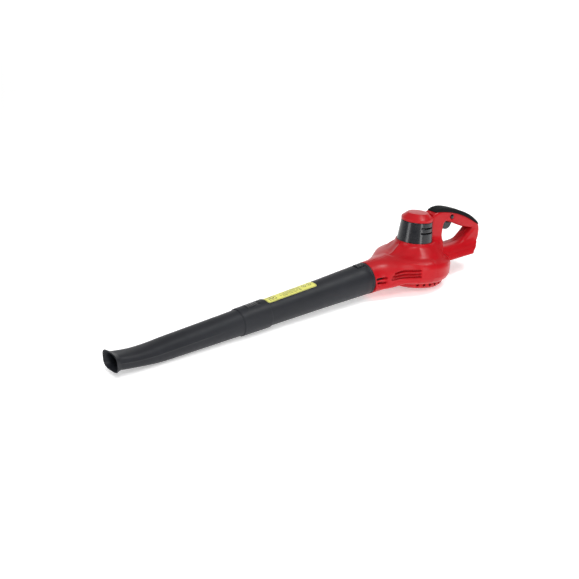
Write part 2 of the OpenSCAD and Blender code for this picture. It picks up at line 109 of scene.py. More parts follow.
class Outline:
    """Signed distance to a closed 2-D outline, read from a fine table."""

    def __init__(self, points, pitch=0.5, margin=34):
        p = np.asarray(points, float)
        self.lo = p.min(0) - margin
        n = np.ceil((p.max(0) + margin - self.lo) / pitch).astype(int) + 2
        self.pitch = pitch
        u = (self.lo[0] + pitch * np.arange(n[0]))[:, None]
        v = (self.lo[1] + pitch * np.arange(n[1]))[None, :]
        d = np.full((n[0], n[1]), 1e9)
        inside = np.zeros((n[0], n[1]), bool)
        for (ax, ay), (bx, by) in zip(p, np.roll(p, 1, 0)):
            ex, ey = bx - ax, by - ay
            wx, wy = u - ax, v - ay
            t = np.clip((wx * ex + wy * ey) / (ex * ex + ey * ey + 1e-12), 0, 1)
            d = np.minimum(d, (wx - ex * t) ** 2 + (wy - ey * t) ** 2)
            c1, c2, c3 = v >= ay, v < by, ex * wy > ey * wx
            inside ^= (c1 & c2 & c3) | (~c1 & ~c2 & ~c3)
        self.t = np.sqrt(d) * np.where(inside, -1, 1)
        self.n = n

    def __call__(self, u, v):
        a = (u - self.lo[0]) / self.pitch
        b = (v - self.lo[1]) / self.pitch
        ac, bc = np.clip(a, 0, self.n[0] - 1.001), np.clip(b, 0, self.n[1] - 1.001)
        out = self.pitch * np.hypot(a - ac, b - bc)
        i, j = ac.astype(int), bc.astype(int)
        fa, fb = ac - i, bc - j
        t = self.t
        return (t[i, j] * (1 - fa) * (1 - fb) + t[i + 1, j] * fa * (1 - fb)
                + t[i, j + 1] * (1 - fa) * fb + t[i + 1, j + 1] * fa * fb) + out


def slab(flat, w, r):
    """A flat outline's distance given thickness: w is the distance past its faces, r rounds the edges."""
    a, b = flat + r, w + r
    return np.minimum(np.maximum(a, b), 0) + np.hypot(np.maximum(a, 0), np.maximum(b, 0)) - r


# ---------------------------------------------------------------- meshes
def shade(mesh, angle):
    """Smooth, with an edge wherever two faces turn by more than the angle."""
    mesh.shade_smooth()
    mesh.set_sharp_from_angle(angle=math.radians(angle))


def add_object(name, data):
    obj = bpy.data.objects.new(name, data)
    bpy.context.scene.collection.objects.link(obj)
    return obj


def finish_mesh(name, verts, faces, angle=38):
    mesh = bpy.data.meshes.new(name)
    mesh.from_pydata([tuple(v) for v in verts], [], [tuple(f) for f in faces])
    mesh.update()
    shade(mesh, angle)
    return add_object(name, mesh)


def face_outward(mesh):
    bm = bmesh.new()
    bm.from_mesh(mesh)
    bmesh.ops.recalc_face_normals(bm, faces=bm.faces)
    bm.to_mesh(mesh)
    bm.free()


def surface(name, field, lo, hi, pitch, place=to_row, rounds=4, angle=50):
    """The zero surface of a distance field, as quads: one point in each cell that the surface crosses."""
    n = [int(math.ceil((h - l) / pitch)) + 1 for l, h in zip(lo, hi)]
    ax = [l + pitch * np.arange(k) for l, k in zip(lo, n)]
    f = np.ascontiguousarray(np.broadcast_to(
        field(ax[0][:, None, None], ax[1][None, :, None], ax[2][None, None, :]), n))
    neg = f < 0
    total = np.zeros([k - 1 for k in n], np.int8)
    corners = [(i, j, k) for i in (0, 1) for j in (0, 1) for k in (0, 1)]
    for i, j, k in corners:
        total += neg[i:n[0] - 1 + i, j:n[1] - 1 + j, k:n[2] - 1 + k]
    cell = np.argwhere((total > 0) & (total < 8))
    index = np.full([k - 1 for k in n], -1, np.int64)
    index[cell[:, 0], cell[:, 1], cell[:, 2]] = np.arange(len(cell))
    # a point starts at the mean of the crossings on its cell's edges
    val = {c: f[cell[:, 0] + c[0], cell[:, 1] + c[1], cell[:, 2] + c[2]] for c in corners}
    acc, cnt = np.zeros((len(cell), 3)), np.zeros(len(cell))
    for c in corners:
        for axis in range(3):
            if c[axis]:
                continue
            e = list(c)
            e[axis] = 1
            a, b = val[c], val[tuple(e)]
            hit = (a < 0) != (b < 0)
            t = np.where(hit, a / np.where(hit, a - b, 1), 0)
            q = np.tile(np.array(c, float), (len(cell), 1))
            q[:, axis] = t
            acc += q * hit[:, None]
            cnt += hit
    p = np.array(lo, float) + pitch * (cell + acc / cnt[:, None])
    # and then slides down the field's slope onto the surface, without leaving its neighbourhood
    start = p.copy()
    h = 0.2 * pitch
    for _ in range(rounds):
        v = field(p[:, 0], p[:, 1], p[:, 2])
        g = np.stack([(field(*(p + d).T) - field(*(p - d).T)) / (2 * h) for d in h * np.eye(3)], 1)
        move = -0.8 * (v / np.maximum((g * g).sum(1), 0.25))[:, None] * g
        p = start + np.clip(p + move - start, -0.6 * pitch, 0.6 * pitch)
    # each grid edge that the surface crosses becomes a quad between the four cells round it
    faces = []
    for axis in range(3):
        o1, o2 = [a for a in range(3) if a != axis]
        size = list(n)
        size[axis] -= 1
        lo_s, hi_s = [slice(None)] * 3, [slice(None)] * 3
        lo_s[axis], hi_s[axis] = slice(0, n[axis] - 1), slice(1, n[axis])
        a, b = neg[tuple(lo_s)], neg[tuple(hi_s)]
        at = np.argwhere(a != b)
        keep = (at[:, o1] > 0) & (at[:, o2] > 0) & (at[:, o1] < n[o1] - 1) & (at[:, o2] < n[o2] - 1)
        at = at[keep]
        first = a[at[:, 0], at[:, 1], at[:, 2]]
        ring = []
        for d1, d2 in ((-1, -1), (0, -1), (0, 0), (-1, 0)):
            c = at.copy()
            c[:, o1] += d1
            c[:, o2] += d2
            ring.append(index[c[:, 0], c[:, 1], c[:, 2]])
        ring = np.stack(ring, 1)
        flip = first if axis != 1 else ~first
        ring[~flip] = ring[~flip][:, ::-1]
        faces.append(ring)
    faces = np.vstack(faces)
    return finish_mesh(name, place(p), faces.tolist(), angle)


def loft(name, rings, place, closed=True, angle=38):
    """A skin through rings of equal length; closed joins the last ring to the first."""
    rings = [np.asarray(r, float) for r in rings]
    n, m = len(rings[0]), len(rings)
    faces = []
    for i in range(m if closed else m - 1):
        a, b = i * n, ((i + 1) % m) * n
        faces += [(a + k, a + (k + 1) % n, b + (k + 1) % n, b + k) for k in range(n)]
    if not closed:
        faces += [tuple(range(n))[::-1], tuple((m - 1) * n + k for k in range(n))]
    obj = finish_mesh(name, place(np.vstack(rings)), faces, angle)
    face_outward(obj.data)
    shade(obj.data, angle)
    return obj


def rounded(profile, radii, steps=4):
    """A closed 2-D profile with its corners rounded off, each by its own radius."""
    p = np.asarray(profile, float)
    out = []
    for i in range(len(p)):
        a, b, c = p[i - 1], p[i], p[(i + 1) % len(p)]
        u, v = a - b, c - b
        lu, lv = np.linalg.norm(u), np.linalg.norm(v)
        u, v = u / lu, v / lv
        half = math.acos(max(-1, min(1, float(u @ v)))) / 2
        t = min(radii[i] / max(math.tan(half), 1e-3), 0.45 * lu, 0.45 * lv)
        if t < 0.02 or half > 1.54:
            out.append(b)
            continue
        for k in range(steps + 1):
            w = k / steps
            out.append((1 - w) ** 2 * (b + t * u) + 2 * w * (1 - w) * b + w * w * (b + t * v))
    return np.array(out)


def turned(name, profile, place, sides=128, angle=38):
    """A closed (radius, height) profile turned about its axis; points on the axis are joined by fans."""
    p = np.asarray(profile, float)
    a = 2 * math.pi * np.arange(sides) / sides
    verts, first = [], []
    for r, z in p:
        first.append((len(verts), r < 1e-6))
        verts += [(0, 0, z)] if r < 1e-6 else [(r * math.cos(t), r * math.sin(t), z) for t in a]
    faces = []
    for i in range(len(p)):
        (s0, c0), (s1, c1) = first[i], first[(i + 1) % len(p)]
        for k in range(sides):
            q = (k + 1) % sides
            if c0 and c1:
                break
            if c0:
                faces.append((s0, s1 + q, s1 + k))
            elif c1:
                faces.append((s0 + k, s0 + q, s1))
            else:
                faces.append((s0 + k, s0 + q, s1 + q, s1 + k))
    obj = finish_mesh(name, place(np.array(verts)), faces, angle)
    face_outward(obj.data)
    shade(obj.data, angle)
    return obj


# ---------------------------------------------------------------- housing
WALL = 2.6
PARTING = 0.12  # half the gap between the two half shells
SEAT_GAP = 0.25  # round the band and the cap
HALF_GRIP = 16  # half the handle's width
BAND = (36.2, 31.5, 85.8, 130.6)  # the black band's radius at its foot and at its top, and their heights
BAND_SLANT = 0.994  # cosine of the band's taper
RING_R, RING_L, SOCKET_R = 32.2, 60, 29.8  # the duct's ring, and the socket in it
POST_R, BOSS_R, HEAD_R, SCREW_R = 5, 4.5, 3.5, 1.6  # what the screws go into, and their own holes
BUTTON = (84.5, 133)  # x and z of the lock button
FOOT = (84, 44)  # x and z of the foot's corner

# the handle's loop and its finger hole, seen from the side: x and z
loop_outer = Outline(chaikin([
    (28, 139), (38, 144), (53, 150.6), (70, 150.8), (90, 147), (112, 141.4), (128, 135.9), (144, 128.6),
    (159, 119), (168, 111), (172, 101), (172.4, 90), (172, 80), (168, 72), (150, 61), (120, 54), (76, 52),
    (44, 46), (26, 60)]))
loop_hole = Outline(chaikin([
    (63, 68.5), (80, 68.5), (101, 70.5), (121, 75), (135, 87), (150.5, 102.5), (149.5, 104.5), (146, 104.8),
    (128, 107.6), (112, 112), (98, 117), (86, 121.5), (64, 126), (63, 98)]))

# the round case: radius and height. Its flank is full at the back and hollow towards the duct.
disc = Outline(rounded(
    [(-60, 16), (66, 16), (73.4, 22.5), (77.5, 31), (77.5, 50), (74.5, 57), (66, 61.5), (58, 64.5),
    (-60, 64.5)],
    [0, 1, 5, 6, 8, 8, 6, 6, 0]))
flank = Outline(chaikin([
    (-40, 40), (77, 40), (76.8, 50), (72, 56.5), (65.5, 59.5), (62, 61.5), (58.5, 66.5), (54.5, 71.5),
    (50, 75.5), (44.5, 80), (40, 84), (38.8, 87.5), (38.6, 91), (-40, 91)]))
flank_front = Outline(chaikin([
    (-40, 40), (77, 40), (76.8, 50), (72, 56.5), (64, 61), (57, 65), (50, 69.5), (44.5, 75), (40.5, 80.5),
    (38.8, 86), (38.6, 91), (-40, 91)]))

# the duct from above, x and y, and from the side, x and z
duct_edge = [
    (-140, 31), (-122, 32.2), (-105, 40), (-90, 46.5), (-72, 49), (-58, 54), (-45, 62.5), (-28, 71), (0, 72)]
duct_plan = Outline(chaikin(duct_edge + [(px, -py) for px, py in duct_edge[::-1]]))
duct_side = Outline(chaikin([
    (-150, -12), (-117, -9), (-100, -6), (-82, 0), (-64, 13), (-50, 16), (10, 16), (10, 64), (-44, 63),
    (-80, 59.5), (-122, 55), (-150, 52)]))

# the battery foot from the side, measured from its corner and level with the ground
foot_side = Outline(rounded(
    [(-2, 0), (65, 0), (67.5, 5), (85, 21), (76, 26), (-16, 25), (-12, 14)],
    [4, 2, 4, 4, 4, 2, 6]))


def axis_of_tube(x, z):
    """(up, forward) of a point in the tube's frame."""
    dx, dz = x - RING[0], z - RING[1]
    return -dx * math.sin(SLOPE) + dz * math.cos(SLOPE), -dx * math.cos(SLOPE) - dz * math.sin(SLOPE)


def on_foot(x, z):
    """(back, up) of a point from the foot's corner, level with the ground."""
    dx, dz = x - FOOT[0], z - FOOT[1]
    return dx * math.cos(LEAN) + dz * math.sin(LEAN), -dx * math.sin(LEAN) + dz * math.cos(LEAN)


def ground_level(x, z):
    """Height over the ground."""
    return -x * math.sin(LEAN) + z * math.cos(LEAN) - GROUND_Z


def loop(x, y, z):
    """The handle, from its column round to the rail of the foot."""
    return slab(np.maximum(loop_outer(x, z), -loop_hole(x, z) - 0.6), np.abs(y) - HALF_GRIP, 6.5)


def body(x, y, z):
    """The housing's outside, filled."""
    w, r = np.abs(y), np.hypot(x, y)
    # how much a point lies towards the duct as seen from the shaft, from 0 to 1
    ahead = step((-x / (r + 1) - 0.42) / 0.38)
    d = smin(disc(r, z), flank(r, z) * (1 - ahead) + flank_front(r, z) * ahead, 2)
    # the shoulder that carries the handle's column: each of its flats is a plane
    side = 0.41 * (x + 5) + 0.762 * (w - 72) + 0.501 * (z - 54)
    front = -0.6 * x + 0.55 * w + 0.58 * z - 73.9
    rear = (x + 0.78 * (w - 16) - 66) / 1.268
    apron = smax(smax(side, front, 26), z - 90, 10)
    apron = np.maximum(smax(apron, rear, 2.5), 50 - z)
    d = smin(d, apron, 4)
    # the duct, with its upper and lower edges bevelled, and the ring at its end
    up, s = axis_of_tube(x, z)
    duct = smax(duct_plan(x, y), duct_side(x, z), 9)
    duct = smax(duct, (-0.7 * x + w + z - 143.4) / 1.578, 12)
    duct = smax(duct, (-8.5 + 0.44 * w - z) / 1.09, 9)
    d = smin(d, duct, 9)
    ring = np.maximum(np.hypot(up, y) - RING_R, np.maximum(s, -RING_L - s))
    d = smin(d, ring, 5)
    d = np.maximum(d, s)
    d = smin(d, loop(x, y, z), 10)
    fx, fz = on_foot(x, z)
    half = np.interp(fz, [0, 5, 12, 17, 24], [30, 29, 26.6, 22, 17])
    foot = slab(foot_side(fx, fz), w - half, 2.5)
    return smin(d, foot, 5)


def tower_top(x, y, z):
    """The band and the cap, filled, with the gap round them."""
    r = np.hypot(x, y)
    t = np.clip((z - BAND[2]) / (BAND[3] - BAND[2]), 0, 1)
    cone = np.maximum((r - (BAND[0] + (BAND[1] - BAND[0]) * t)) * BAND_SLANT, BAND[2] - z)
    cone = np.maximum(cone, z - 131.6)
    cap = np.maximum(np.maximum(r - 32.2, 130.2 - z), (r - 32.2) * 0.65 + (z - 137.6) * 0.76)
    return np.minimum(cone, cap) - SEAT_GAP


# the lower edge of the rubber along the handle: x and z
grip_line = np.array([
    (20, 143.5), (38, 144.6), (50, 145.6), (62, 145.2), (83, 142.0), (101, 137.8), (122, 130.8), (139, 123.2),
    (157, 114), (168, 109.5), (172, 108)])


def rubber(x, y, z, grow=0.0):
    """The soft grip: a skin on the handle's crown. The housing's seat for it is the same shape, grown."""
    edge = np.interp(x, grip_line[:, 0], grip_line[:, 1])
    d = loop(x, y, z)
    d = smax(d - 1.5 - grow, -(d + 1.3 + grow), 0.8)
    return smax(d, (edge - grow - z) * 0.93, 1.6)


# each slot: three x positions and its height over the ground at each
SLOTS = [
    ((-84.5, -65, -38), (51.4, 54.5, 54.8)),
    ((-90, -65, -38), (46.1, 47.9, 47.6)),
    ((-93, -65, -37), (41.4, 42.1, 42.2)),
    ((-122.5, -110, -99.5), (45.2, 45.2, 45.2)),
    ((-120, -110, -101.5), (37.4, 37.4, 37.4)),
]
SLOT_HALF, SLOT_DEEP = 1.95, 5.0


def slots(x, y, z, outside):
    """Blind grooves in both sides of the duct."""
    g = ground_level(x, z)
    d = np.float64(1e3)
    for at, levels in SLOTS:
        off = np.abs(g - np.interp(x, at, levels))
        d = np.minimum(d, slab(off - SLOT_HALF, np.abs(x - (at[0] + at[2]) / 2) - (at[2] - at[0]) / 2, 1.5))
    inner_face = 14
    return np.maximum(np.maximum(d, -SLOT_DEEP - outside), inner_face - np.abs(y))


SCREWS = [(70, 40), (51, 98), (51, 136), (134, 121), (160, 92), (150, 76), (78, 62)]  # x and z
GUARD_SCREWS = [(38.9 * a, 38.9 * b) for a, b in ((1, 1), (-1, 1), (-1, -1), (1, -1))]  # x and y


def near_points(points, a, b):
    """Distance to the nearest of some points in a plane."""
    d = np.float64(1e3)
    for pa, pb in points:
        d = np.minimum(d, np.hypot(a - pa, b - pb))
    return d


def shell(x, y, z, outside):
    """The housing's wall, with the posts and bosses inside it."""
    w = np.abs(y)
    g = ground_level(x, z)
    # a raised lip runs along the top of the long slots
    lip = np.exp(-((g - np.interp(x, *SLOTS[0]) - 3.3) / 1.2) ** 2)
    lip = lip * step((x + 90) / 12) * step((-34 - x) / 8) * step((w - 20) / 10)
    outside = outside - 0.8 * lip
    # the wall is thicker behind the slots, so that they stay blind
    near_slots = step((x + 128) / 5) * step((-33 - x) / 5) * step((g - 26) / 5) * step((64 - g) / 5)
    inside = outside + WALL + 4.2 * near_slots * step((w - 20) / 6)
    fx, fz = on_foot(x, z)
    shoe = np.maximum(np.maximum(np.abs(fx - 30.5) - 32.5, w - 29), np.abs(fz - 7.2) - 7.2)
    posts = near_points(SCREWS, x, z) - POST_R
    bosses = np.maximum(near_points(GUARD_SCREWS, x, y) - BOSS_R, z - 23)
    for solid in (shoe, posts, bosses):
        inside = np.maximum(inside, -solid)
    d = smax(outside, -inside, 0.6)
    return smax(d, -slots(x, y, z, outside), 0.7)


def housing(x, y, z):
    """Both half shells as one, with their openings."""
    w, r = np.abs(y), np.hypot(x, y)
    d = shell(x, y, z, body(x, y, z))
    # the seat of the band and the cap, the motor's bore, and the intake
    d = smax(d, -tower_top(x, y, z), 0.8)
    d = np.maximum(d, -np.maximum(r - 32, np.maximum(60 - z, z - 120)))
    d = np.maximum(d, -np.maximum(r - 48, np.abs(z - 16) - 6))
    # the tube's socket
    up, s = axis_of_tube(x, z)
    d = smax(d, -np.maximum(np.hypot(up, y) - SOCKET_R, np.abs(s + 22) - 28), 0.8)
    # the trigger's slot
    slot = np.maximum(w - 6.8, np.maximum(np.maximum(66.4 - x, x - 97), np.maximum(104 - z, z - 129)))
    d = smax(d, -slot, 0.6)
    # the battery's channel: a narrow slot under a wide one
    fx, fz = on_foot(x, z)
    lower = np.maximum(np.maximum(12 - fx, w - 19), np.abs(fz - 2) - 3)
    upper = np.maximum(np.maximum(12 - fx, w - 24), np.abs(fz - 8.5) - 3.5)
    d = smax(d, -np.minimum(lower, upper), 0.5)
    # the seat of the rubber
    d = smax(d, -rubber(x, y, z, 0.12), 0.4)
    # the lock button's hole, with a dish round it
    off = np.hypot(x - BUTTON[0], z - BUTTON[1])
    hole, dish = np.maximum(off - 4.3, y + 6), np.hypot(off, y + HALF_GRIP + 9) - 11.6
    d = smax(d, -np.minimum(hole, dish), 0.5)
    # the screws' heads, on the far side
    return smax(d, -np.maximum(near_points(SCREWS, x, z) - HEAD_R, 9 - y), 0.5)


def left_half(x, y, z):
    return smax(housing(x, y, z), y + PARTING, 0.9)


def right_half(x, y, z):
    return smax(housing(x, y, z), PARTING - y, 0.9)


# the intake guard's outside: radius and height
guard_cup = Outline(rounded(
    [(-40, 3), (50.5, 3), (58.5, 4.6), (63.4, 8.8), (65.4, 13), (65.6, 16), (-40, 16)],
    [0, 4, 4, 4, 3, 0, 0]))
SLOT_START, SLOT_END_LONG, SLOT_END_SHORT = 13.5, 43.5, 36.5


def guard(x, y, z):
    """The intake guard: a shallow cup with radial slots in its floor and windows round its rim."""
    r = np.hypot(x, y)
    out = guard_cup(r, z)
    d = np.maximum(smax(out, -(out + 2.4), 0.5), z - 16)
    q = near_points(GUARD_SCREWS, x, y)
    d = np.minimum(d, np.maximum(np.maximum(q - BOSS_R, z - 16), 4 - z))
    d = smax(d, -np.minimum(q - SCREW_R, np.maximum(q - HEAD_R, z - 8)), 0.5)
    # a window every 12 degrees, but none under the duct
    a = np.degrees(np.arctan2(y, x))
    turn = np.radians(np.abs((a + 6) % 12 - 6)) * r
    window = np.maximum(np.maximum(turn - 2.5, np.abs(z - 14.2) - 3.2), np.maximum(57 - r, -38 - x))
    d = smax(d, -window, 0.6)
    # a slot every 15 degrees, long and short in turn
    sector = (a + 7.5) % 15 - 7.5
    reach = np.where(((a + 7.5) // 15) % 2 == 0, SLOT_END_LONG, SLOT_END_SHORT)
    across, along = np.abs(np.sin(np.radians(sector)) * r), np.cos(np.radians(sector)) * r
    flat = np.maximum(across - 1.6, np.abs(along - (SLOT_START + reach) / 2) - (reach - SLOT_START) / 2)
    return smax(d, -slab(flat, z - 8, 1.2), 0.5)


def cell(fine, coarse):
    return fine


left = surface("housing_shell_left", left_half, (-132, -80, -14), (176, 2.6, 154), cell(1.3, 2.2))
right = surface("housing_shell_right", right_half, (-132, -2.6, -14), (176, 80, 154), cell(1.3, 2.2))
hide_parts("housing_left")
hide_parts("housing_right")
grip = surface("grip_rubber", rubber, (26, -19, 96), (178, 19, 155), cell(0.9, 1.4))
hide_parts("soft_grip")
cup = surface("intake_cup", guard, (-68, -68, 1), (68, 68, 18), cell(1.0, 1.6))
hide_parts("intake_guard")
for o in (left, right, grip, cup):
    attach(o, "housing")
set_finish(cup, "red_plastic")
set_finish(left, "red_plastic")
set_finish(right, "red_plastic")
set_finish(grip, "grip_rubber")


# ---------------------------------------------------------------- tower
LOUVRES = (109.8, 119.8)


def band(x, y, z):
    """The black band: a thin cone with two long louvres on each side."""
    r = np.hypot(x, y)
    t = (z - BAND[2]) / (BAND[3] - BAND[2])
    out = (r - (BAND[0] + (BAND[1] - BAND[0]) * t)) * BAND_SLANT
    middle, half = 108.2, 22.3
    d = smax(smax(out, -(out + 2.4), 0.4), np.abs(z - middle) - half, 0.8)
    a = np.degrees(np.arctan2(np.abs(y), x))
    for level in LOUVRES:
        cut = np.maximum(np.abs(z - level) - 1.2, (np.abs(a - 84) - 31) * r * 0.0175)
        d = smax(d, -cut, 0.5)
    return d


vent_band = surface("motor_vent_ring", band, (-38, -38, 86), (38, 38, 135), cell(1.0, 1.6))
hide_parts("motor_vent_band")
cap_profile = rounded(
    [(0, 142.6), (0, 146), (20.6, 146), (31.8, 137.0), (31.8, 130.8), (28.4, 130.8), (28.4, 136),
    (20, 142.6)],
    [0, 0, 1.6, 1.4, 0.5, 0.3, 0.3, 1])
cap = turned("tower_lid", cap_profile, to_row)
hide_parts("tower_cap")
for o, s in ((vent_band, "black_plastic"), (cap, "red_plastic")):
    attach(o, "housing")
    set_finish(o, s)


# ---------------------------------------------------------------- tube
def place_tube(p):
    return to_row(along_tube(p))


def cut_with(obj, cutter):
    """Cut the cutter's shape out of the object, and remove the cutter."""
    m = obj.modifiers.new("cut", "BOOLEAN")
    m.operation, m.solver, m.object = "DIFFERENCE", "EXACT", cutter
    dg = bpy.context.evaluated_depsgraph_get()
    mesh = bpy.data.meshes.new_from_object(obj.evaluated_get(dg))
    obj.modifiers.clear()
    obj.data = mesh
    bpy.data.objects.remove(cutter)
    shade(mesh, 38)


def box_on_tube(name, low, high):
    """A box between two corners, each given as (up, across, forward)."""
    p = [(a, b, c) for a in (low[0], high[0]) for b in (low[1], high[1]) for c in (low[2], high[2])]
    f = [(0, 1, 3, 2), (4, 6, 7, 5), (0, 4, 5, 1), (2, 3, 7, 6), (0, 2, 6, 4), (1, 5, 7, 3)]
    obj = finish_mesh(name, place_tube(np.array(p, float)), f)
    face_outward(obj.data)
    return obj


# lengths along the tube are measured forward from the mouth of the duct's ring
INSERT_R, INSERT_L = 29.5, 38
TUBE_WALL, TUBE_L, TUBE_END_R = 2.2, 248.0, 25.8
SPIGOT_R, SPIGOT_L = 24.4, 60.0
SPIGOT_END = TUBE_L + SPIGOT_L
TUBE_LATCH_S, TUBE_LATCH_L = 8, 18
NOZZLE_LATCH_S, NOZZLE_LATCH_L = 262, 30
LATCH_HALF, LATCH_GAP = 8, 0.3  # half a tongue's width, and the play round it


def tube_r(s):
    """Outer radius of the tube at s mm in front of the ring."""
    return np.interp(s, [0, 4, 111.6, TUBE_L], [31.9, 31.6, 28.4, TUBE_END_R])


def latch_gap(name, r_in, r_out, start, length):
    """A box through a wall, for a latch tongue."""
    side = LATCH_HALF + LATCH_GAP
    return box_on_tube(name, (r_in, -side, start - LATCH_GAP), (r_out, side, start + length + LATCH_GAP))


tube_out = [(INSERT_R, -INSERT_L), (INSERT_R, 0.4)]
tube_out += [(31.7, 0.4), (31.7, 5.6), (31.1, 6.2), (31.1, 7.4), (31.45, 8)]
tube_out += [(float(tube_r(s)), s) for s in range(20, int(TUBE_L), 12)]
tube_out += [(TUBE_END_R, TUBE_L), (SPIGOT_R, TUBE_L)]
tube_out += [(SPIGOT_R, SPIGOT_END - 2), (SPIGOT_R - 0.8, SPIGOT_END)]
tube_in = [(SPIGOT_R - TUBE_WALL, SPIGOT_END), (SPIGOT_R - TUBE_WALL, TUBE_L - 4), (26.2, 112)]
tube_in += [(INSERT_R - TUBE_WALL, 4), (INSERT_R - TUBE_WALL, -INSERT_L)]
tube = turned("blow_tube", tube_out + tube_in, place_tube, 128, 30)
cut_with(tube, latch_gap("gap_a", INSERT_R - 6, INSERT_R + 6, TUBE_LATCH_S, TUBE_LATCH_L))
cut_with(tube, latch_gap("gap_b", SPIGOT_R - 6, SPIGOT_R + 6, NOZZLE_LATCH_S, NOZZLE_LATCH_L))
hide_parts("tube")
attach(tube, "tube")
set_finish(tube, "tube_plastic")


def tongue(name, s, length, r, pad, ribs):
    """A latch tongue in a wall of radius r, with a ribbed thumb pad that stands out by pad."""
    rib = 0.3

    def field(x, y, z):
        rr = np.hypot(x, y)
        along = np.abs(z - s - length / 2) - length / 2
        flat = slab(np.abs(rr - (r - 1.1)) - 0.9, np.maximum(np.abs(y) - LATCH_HALF, along), 0.3)
        top = r + pad - rib + rib * np.cos(2 * math.pi * (z - s - 3) * ribs / (length - 6))
        edge = np.maximum(np.abs(y) - (LATCH_HALF - 0.5), along + 0.7)
        thumb = slab(np.maximum(rr - top, r - 1 - rr), edge, 0.8)
        return np.maximum(smin(flat, thumb, 0.4), 2 - x)

    low, high = (r - 6, -9.5, s - 1.5), (r + pad + 1.5, 9.5, s + length + 1.5)
    return surface(name, field, low, high, 0.5, place_tube)


latch_a = tongue("tube_release", TUBE_LATCH_S, TUBE_LATCH_L, INSERT_R, 3.7, 3)
latch_b = tongue("nozzle_release", NOZZLE_LATCH_S, NOZZLE_LATCH_L, SPIGOT_R, 3.15, 5)
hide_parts("tube_latch")
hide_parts("nozzle_latch")
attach(latch_a, "tube_latch")
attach(latch_b, "nozzle_latch")
for o in (latch_a, latch_b):
    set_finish(o, "black_plastic")


LABEL_S, LABEL_L, LABEL_W = 131.0, 115.0, 25.0  # its start on the tube, and its flat size
LABEL_HALF_ANGLE = math.radians(26.0)


def label_sheet():
    """The label: a thin sheet with round corners that follows the tube."""
    corner = 3.0
    n, m = 115, 40
    verts, faces = [], []
    for lift in (0.05, 0.3):
        for i in range(n + 1):
            s = LABEL_L * i / n
            e = min(s, LABEL_L - s)
            inset = corner - math.sqrt(max(0, corner ** 2 - (corner - min(e, corner)) ** 2))
            r = float(tube_r(LABEL_S + s)) + lift
            a = LABEL_HALF_ANGLE - inset / r
            for j in range(m + 1):
                t = -a + 2 * a * j / m
                verts.append((r * math.cos(t), r * math.sin(t), LABEL_S + s))
    k = (n + 1) * (m + 1)  # points in one of the sheet's two faces
    for i in range(n):
        for j in range(m):
            q = i * (m + 1) + j
            faces += [(q, q + 1, q + m + 2, q + m + 1), (k + q, k + q + m + 1, k + q + m + 2, k + q + 1)]
    rim = list(range(m + 1)) + [i * (m + 1) + m for i in range(1, n + 1)]
    rim += [n * (m + 1) + j for j in range(m - 1, -1, -1)] + [i * (m + 1) for i in range(n - 1, 0, -1)]
    faces += [(a, k + a, k + b, b) for a, b in zip(rim, rim[1:] + rim[:1])]
    obj = finish_mesh("tube_sticker", place_tube(np.array(verts)), faces, 30)
    face_outward(obj.data)
    # the flat plan of the label, from 0 to 1 along it and across it, for its printed marks
    plan = obj.data.uv_layers.new(name="plan")
    for corner_of_face in obj.data.loops:
        i = corner_of_face.vertex_index % k
        plan.data[corner_of_face.index].uv = ((i // (m + 1)) / n, (i % (m + 1)) / m)
    return obj


label = label_sheet()
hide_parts("tube_label")
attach(label, "tube")
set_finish(label, "label_vinyl")

# ---------------------------------------------------------------- nozzle
# lengths along the nozzle are measured forward from its rear end, NOZZLE_S in front of the ring
NOZZLE_S, NOZZLE_L, NOZZLE_WALL = TUBE_L + 0.3, 331.5, 2.0
COLLAR_L, COLLAR_R = 62.0, 27.8
NECK_R, NECK_STEP, NECK_STEP_L = 24.9, 1.6, 1.5  # in front of the collar, and the step down to it
TAPER_S = COLLAR_L + 12  # the round neck ends here and the flattening body starts
OUT_W, OUT_H = 54.6, 39.6  # the mouth, over its flange
FLANGE, FLANGE_L = 4.4, 11  # how far the flange at the mouth stands out, and over what length
DIP = 3.14  # how far the half height drops below its taper before the flange
RISE, RISE_S = 11, 232  # the mouth bends up by this much from here
CREASE = 78.75  # degrees down from the top, on both sides
SECTION_POINTS = 128


def collar_r(s):
    if s < COLLAR_L:
        return COLLAR_R - 0.018 * s
    t = min(1.0, (s - COLLAR_L) / NECK_STEP_L)
    return NECK_R - 0.02 * max(0.0, s - COLLAR_L - 4) + NECK_STEP * (1 - t * t * (3 - 2 * t))


def taper(s, end):
    """From the neck's radius to another half size at the mouth."""
    if s < TAPER_S:
        return collar_r(s)
    r0 = collar_r(TAPER_S)
    return r0 + (end - r0) * (s - TAPER_S) / (NOZZLE_L - TAPER_S)


def half_w(s):
    return taper(s, OUT_W / 2 - FLANGE)


def half_h(s):
    return taper(s, OUT_H / 2 - FLANGE + DIP) - DIP * step((s - 212) / 80)


def rise(s):
    return RISE * max(0.0, (s - RISE_S) / (NOZZLE_L - RISE_S)) ** 2


def flange(s):
    return FLANGE * max(0.0, (s - NOZZLE_L + FLANGE_L) / FLANGE_L) ** 1.5


def nozzle_ring(s, inset, at):
    """The section at s, made smaller by inset and set at another length. A crease runs along both sides."""
    a = 2 * math.pi * np.arange(SECTION_POINTS) / SECTION_POINTS
    fold = np.degrees(np.abs((a + math.pi) % (2 * math.pi) - math.pi)) - CREASE
    ridge = 1.7 * np.exp(-np.abs(fold) / 19) - 0.9 * step(fold / 5) * (1 - step(fold / 90))
    ridge = ridge * step((s - COLLAR_L - 6) / 90) * (1 - step((s - 318) / 10))
    hw, hh = half_w(s) + flange(s) - inset + ridge, half_h(s) + flange(s) - inset + ridge
    # the section gets squarer towards the mouth
    square = 1 - (0.03 * step((s - 150) / 150) + 0.035 * step((s - 290) / 35)) * np.cos(4 * a)
    up, across = rise(s) + hh * np.cos(a) * square, hw * np.sin(a) * square
    return np.stack([up, across, np.full(SECTION_POINTS, NOZZLE_S + at)], 1)


